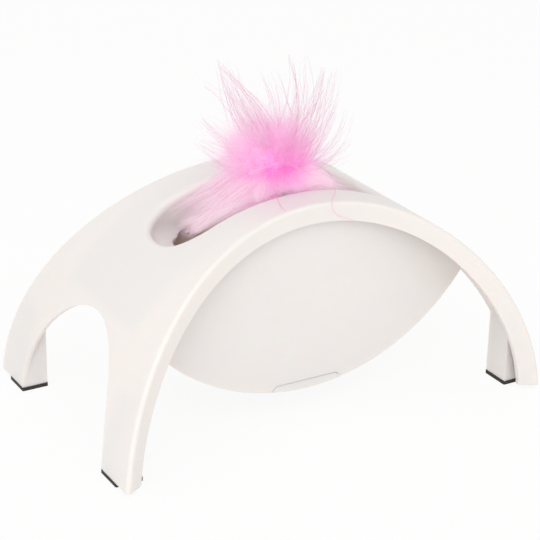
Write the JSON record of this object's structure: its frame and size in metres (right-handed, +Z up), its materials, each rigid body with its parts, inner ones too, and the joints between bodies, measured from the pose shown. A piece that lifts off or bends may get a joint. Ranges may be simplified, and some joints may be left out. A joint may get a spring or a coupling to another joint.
{
  "type": "cat toy",
  "caption": "White moulded arch on splayed legs with a swinging pink feather tuft in a crown slot and a lens-shaped battery housing below.",
  "frame": {"origin": "on the floor under the middle of the arch", "axes": "+X along the arch, +Y from the front face to the back, +Z up"},
  "size_m": [0.3012, 0.1894, 0.2264],
  "materials": {
    "white_plastic": "satin",
    "inner_plastic": "matte",
    "gear_plastic": "satin",
    "black_rubber": "matte",
    "black_plastic": "matte",
    "steel": "satin",
    "brass": "satin",
    "cell_jacket": "gloss",
    "board_laminate": "satin",
    "pink_feather": "matte",
    "quill": "satin"
  },
  "bodies": {
    "housing": {"upper_shell": "white_plastic", "lower_shell": "white_plastic", "foot_pad_back_right": "black_rubber", "foot_pad_back_left": "black_rubber", "foot_pad_front_right": "black_rubber", "foot_pad_front_left": "black_rubber", "battery_tray": "inner_plastic", "battery_cell_left": "cell_jacket", "battery_cell_middle": "cell_jacket", "battery_cell_right": "cell_jacket", "contact_springs": "steel", "contact_plates": "steel", "first_gear_pin": "steel", "second_gear_pin": "steel", "motor_can": "steel", "motor_end_cap": "black_plastic", "motor_terminals": "brass", "gearbox_front_plate": "inner_plastic", "gearbox_back_plate": "inner_plastic", "gearbox_spacers": "brass", "gearbox_screws": "steel", "motor_screws": "steel", "arm_bushes": "brass", "gearbox_mount_screws": "steel", "control_board": "board_laminate", "board_parts": "black_plastic", "board_screws": "steel", "tray_screws": "steel", "switch_body": "black_plastic", "shell_screws": "steel"},
    "arm": {"feather_arm": "white_plastic", "arm_shaft": "steel", "shaft_clips": "steel"},
    "feather": {"feather_collar": "white_plastic", "feather_quill": "quill", "feather_tuft": "pink_feather"},
    "first_gear_body": {"first_gear": "gear_plastic"},
    "second_gear_body": {"second_gear": "gear_plastic"},
    "motor_rotor": {"motor_pinion": "brass", "motor_shaft": "steel"},
    "door": {"battery_door": "white_plastic"},
    "switch": {"switch_knob": "black_plastic"}
  },
  "joints": [
    {"name": "arm_swing", "type": "hinge", "parent": "housing", "child": "arm", "pos_m": [0, 0, 0.074], "axis": [0, 1, 0], "range_deg": [-40, 40]},
    {"name": "first_gear_spin", "type": "hinge", "parent": "housing", "child": "first_gear_body", "pos_m": [-0.036, 0, 0.074], "axis": [0, 1, 0], "range_deg": [-200, 200]},
    {"name": "second_gear_spin", "type": "hinge", "parent": "housing", "child": "second_gear_body", "pos_m": [-0.05329, 0, 0.06771], "axis": [0, 1, 0], "range_deg": [-720, 720]},
    {"name": "motor_spin", "type": "hinge", "parent": "housing", "child": "motor_rotor", "pos_m": [-0.06457, 0, 0.0636], "axis": [0, 1, 0], "range_deg": [-2160, 2160]},
    {"name": "feather_pull", "type": "slide", "parent": "arm", "child": "feather", "axis": [0, 0, 1], "range_m": [0, 0.013]},
    {"name": "door_slide", "type": "slide", "parent": "housing", "child": "door", "axis": [0, -1, 0], "range_m": [0, 0.04]},
    {"name": "switch_slide", "type": "slide", "parent": "housing", "child": "switch", "axis": [1, 0, 0], "range_m": [0, 0.004]}
  ],
  "couplings": [
    {"joint": "first_gear_spin", "follows": "arm_swing", "ratio": -5},
    {"joint": "second_gear_spin", "follows": "arm_swing", "ratio": 18},
    {"joint": "motor_spin", "follows": "arm_swing", "ratio": -54}
  ]
}
